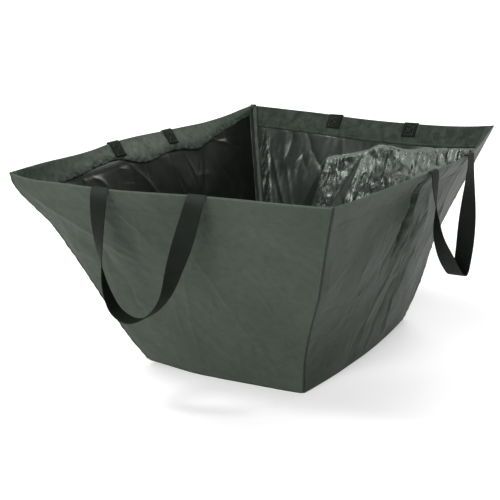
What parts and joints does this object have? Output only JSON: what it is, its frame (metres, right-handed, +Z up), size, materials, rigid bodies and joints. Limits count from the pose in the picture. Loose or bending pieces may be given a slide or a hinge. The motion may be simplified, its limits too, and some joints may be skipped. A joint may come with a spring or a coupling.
{
  "type": "rope storage bag",
  "caption": "Wide open-top bag of coated woven fabric, flaring from a small flat base to a large mouth, with webbing loop handles on its walls.",
  "frame": {"origin": "middle of the flat base, on the floor", "axes": "+Z up, +Y to the back along the longer side of the mouth, +X to the right along the shorter side"},
  "size_m": [0.8614, 1.1456, 0.484],
  "materials": {
    "coated_fabric": "dark grey-green woven tape fabric, matt outside, glossy film inside",
    "webbing": "black flat woven webbing",
    "binding_tape": "black woven binding tape",
    "thread": "dark green sewing thread"
  },
  "bodies": {
    "bag": {"base_panel": "coated_fabric", "front_panel": "coated_fabric", "front_rim_hem": "coated_fabric", "front_hem_stitching": "thread", "front_base_tape": "binding_tape", "front_handle_left_end": "webbing", "front_handle_right_end": "webbing", "front_handle_box_stitching": "thread", "right_panel": "coated_fabric", "right_rim_hem": "coated_fabric", "right_hem_stitching": "thread", "right_base_tape": "binding_tape", "right_handle_left_end": "webbing", "right_handle_right_end": "webbing", "right_handle_box_stitching": "thread", "back_panel": "coated_fabric", "back_rim_hem": "coated_fabric", "back_hem_stitching": "thread", "back_base_tape": "binding_tape", "back_handle_left_end": "webbing", "back_handle_right_end": "webbing", "back_handle_box_stitching": "thread", "left_panel": "coated_fabric", "left_rim_hem": "coated_fabric", "left_hem_stitching": "thread", "left_base_tape": "binding_tape", "left_handle_left_end": "webbing", "left_handle_right_end": "webbing", "left_handle_box_stitching": "thread", "front_left_seam_binding": "binding_tape", "front_left_seam_stitching": "thread", "front_right_seam_binding": "binding_tape", "front_right_seam_stitching": "thread", "back_right_seam_binding": "binding_tape", "back_right_seam_stitching": "thread", "back_left_seam_binding": "binding_tape", "back_left_seam_stitching": "thread"},
    "front_handle": {"front_handle_loop": "webbing"},
    "right_handle": {"right_handle_loop": "webbing"},
    "back_handle": {"back_handle_loop": "webbing"},
    "left_handle": {"left_handle_loop": "webbing"}
  },
  "joints": [
    {"name": "front_handle_swing", "type": "hinge", "parent": "bag", "child": "front_handle", "pos_m": [0, -0.56189, 0.47181], "axis": [-1, 0, 0], "range_deg": [-15, 175]},
    {"name": "right_handle_swing", "type": "hinge", "parent": "bag", "child": "right_handle", "pos_m": [0.41639, 0, 0.47145], "axis": [0, -1, 0], "range_deg": [-15, 175]},
    {"name": "back_handle_swing", "type": "hinge", "parent": "bag", "child": "back_handle", "pos_m": [0, 0.5437, 0.47181], "axis": [1, 0, 0], "range_deg": [-15, 175]},
    {"name": "left_handle_swing", "type": "hinge", "parent": "bag", "child": "left_handle", "pos_m": [-0.40499, 0, 0.47145], "axis": [0, 1, 0], "range_deg": [-15, 175]}
  ]
}
